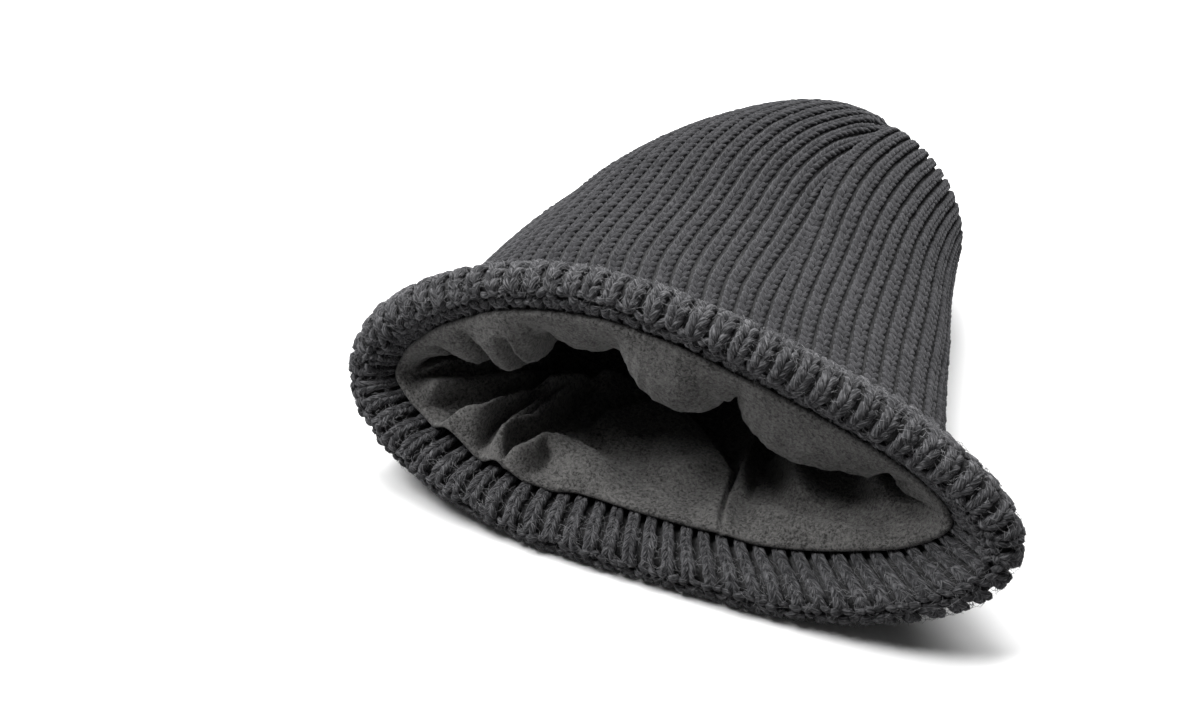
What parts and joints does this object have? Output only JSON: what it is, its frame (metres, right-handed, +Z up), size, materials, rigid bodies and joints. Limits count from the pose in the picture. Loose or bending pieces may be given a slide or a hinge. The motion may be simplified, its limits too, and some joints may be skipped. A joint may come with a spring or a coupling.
{
  "type": "cuffed beanie",
  "caption": "Rib-knit beanie with a folded cuff and a gathered fleece lining, lying on its side with its mouth open.",
  "frame": {"origin": "on the surface that the hat lies on, under the middle of its bounding box", "axes": "+X along the mouth's long side, +Y from the mouth to the tip of the crown, +Z up from the surface"},
  "size_m": [0.219, 0.2298, 0.0892],
  "materials": {
    "charcoal_knit": "chunky rib knit in a charcoal heather yarn, matte and slightly fuzzy",
    "grey_fleece": "short-pile fleece, matte and pebbled"
  },
  "bodies": {
    "root": {"cuff": "charcoal_knit", "knit_crown": "charcoal_knit", "fleece_lining": "grey_fleece"}
  },
  "joints": []
}
